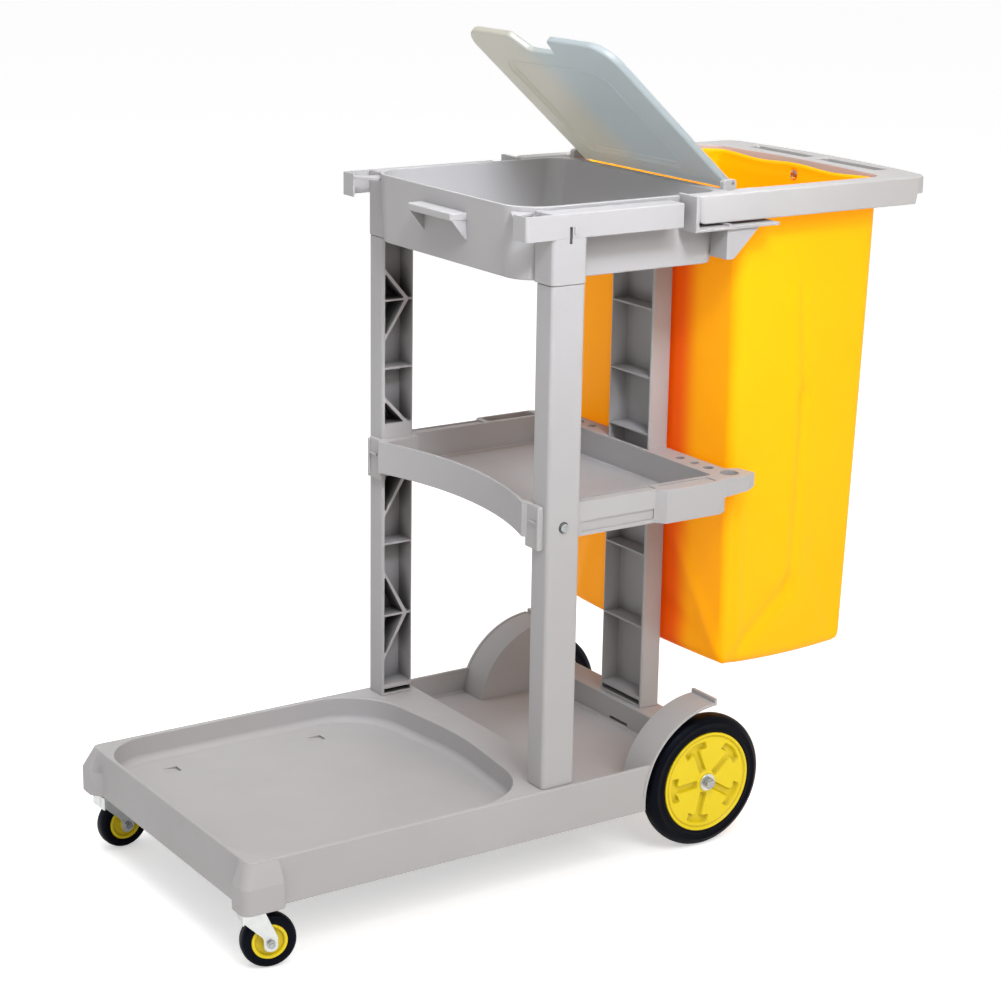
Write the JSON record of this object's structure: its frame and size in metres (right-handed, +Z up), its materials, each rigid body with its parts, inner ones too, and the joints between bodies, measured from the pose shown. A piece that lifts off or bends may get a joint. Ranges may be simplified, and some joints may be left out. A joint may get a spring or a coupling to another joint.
{
  "type": "housekeeping cart",
  "caption": "Janitorial cart with a bucket deck, shelf, deep top tray with hinged lid, and a hanging bag in a rail frame, on large rear wheels and swivel casters.",
  "frame": {"origin": "on the floor, under the centre of the cart's box", "axes": "+X along the cart from the bucket deck to the bag, +Y to the cart's left side, +Z up"},
  "size_m": [1.17, 0.516, 1.1807],
  "materials": {
    "deck_plastic": "moulded, fine matt texture",
    "rail_plastic": "moulded, satin",
    "lid_plastic": "smoky translucent, satin",
    "bag_vinyl": "coated, soft sheen",
    "tyre_rubber": "moulded rubber",
    "hub_plastic": "moulded, semi-gloss",
    "zinc_steel": "zinc plated",
    "bright_steel": "plain bright steel"
  },
  "bodies": {
    "cart": {"base_platform": "deck_plastic", "front_post_left": "deck_plastic", "front_post_right": "deck_plastic", "rear_post": "deck_plastic", "middle_shelf": "deck_plastic", "top_tray": "deck_plastic", "bag_frame": "rail_plastic", "bag": "bag_vinyl", "lid_hinge_rod": "bright_steel", "wheel_axle": "bright_steel", "bag_hook_left": "bright_steel", "bag_hook_right": "bright_steel", "bag_hook_front": "bright_steel", "bag_hook_rear": "bright_steel", "axle_washer_left": "bright_steel", "axle_cap_nut_left": "bright_steel", "axle_sleeve_left": "hub_plastic", "caster_plate_left": "zinc_steel", "caster_race_left": "zinc_steel", "caster_kingpin_left": "bright_steel", "shelf_screw_left": "bright_steel", "axle_washer_right": "bright_steel", "axle_cap_nut_right": "bright_steel", "axle_sleeve_right": "hub_plastic", "caster_plate_right": "zinc_steel", "caster_race_right": "zinc_steel", "caster_kingpin_right": "bright_steel", "shelf_screw_right": "bright_steel"},
    "lid": {"lid": "lid_plastic"},
    "rear_wheel_left": {"rear_tyre_left": "tyre_rubber", "rear_rim_left": "hub_plastic"},
    "caster_swivel_left": {"caster_fork_left": "zinc_steel", "caster_axle_left": "bright_steel", "caster_axle_nut_left": "bright_steel"},
    "caster_wheel_left": {"caster_tyre_left": "tyre_rubber", "caster_hub_left": "hub_plastic"},
    "rear_wheel_right": {"rear_tyre_right": "tyre_rubber", "rear_rim_right": "hub_plastic"},
    "caster_swivel_right": {"caster_fork_right": "zinc_steel", "caster_axle_right": "bright_steel", "caster_axle_nut_right": "bright_steel"},
    "caster_wheel_right": {"caster_tyre_right": "tyre_rubber", "caster_hub_right": "hub_plastic"}
  },
  "joints": [
    {"name": "lid_hinge", "type": "hinge", "parent": "cart", "child": "lid", "pos_m": [0.234, 0, 0.981], "axis": [0, 1, 0], "range_deg": [-41.7, 138.3]},
    {"name": "rear_wheel_left_spin", "type": "hinge", "parent": "cart", "child": "rear_wheel_left", "pos_m": [0.199, 0.211, 0.1016], "axis": [0, 1, 0], "continuous": true},
    {"name": "caster_swivel_left_turn", "type": "hinge", "parent": "cart", "child": "caster_swivel_left", "pos_m": [-0.5555, 0.224, 0.0866], "axis": [0, 0, 1], "continuous": true},
    {"name": "caster_wheel_left_spin", "type": "hinge", "parent": "caster_swivel_left", "child": "caster_wheel_left", "pos_m": [-0.53453, 0.2251, 0.038], "axis": [-0.0523, 0.9986, 0], "continuous": true},
    {"name": "rear_wheel_right_spin", "type": "hinge", "parent": "cart", "child": "rear_wheel_right", "pos_m": [0.199, -0.211, 0.1016], "axis": [0, 1, 0], "continuous": true},
    {"name": "caster_swivel_right_turn", "type": "hinge", "parent": "cart", "child": "caster_swivel_right", "pos_m": [-0.5555, -0.224, 0.0866], "axis": [0, 0, 1], "continuous": true},
    {"name": "caster_wheel_right_spin", "type": "hinge", "parent": "caster_swivel_right", "child": "caster_wheel_right", "pos_m": [-0.53512, -0.22908, 0.038], "axis": [0.2419, 0.9703, 0], "continuous": true}
  ]
}
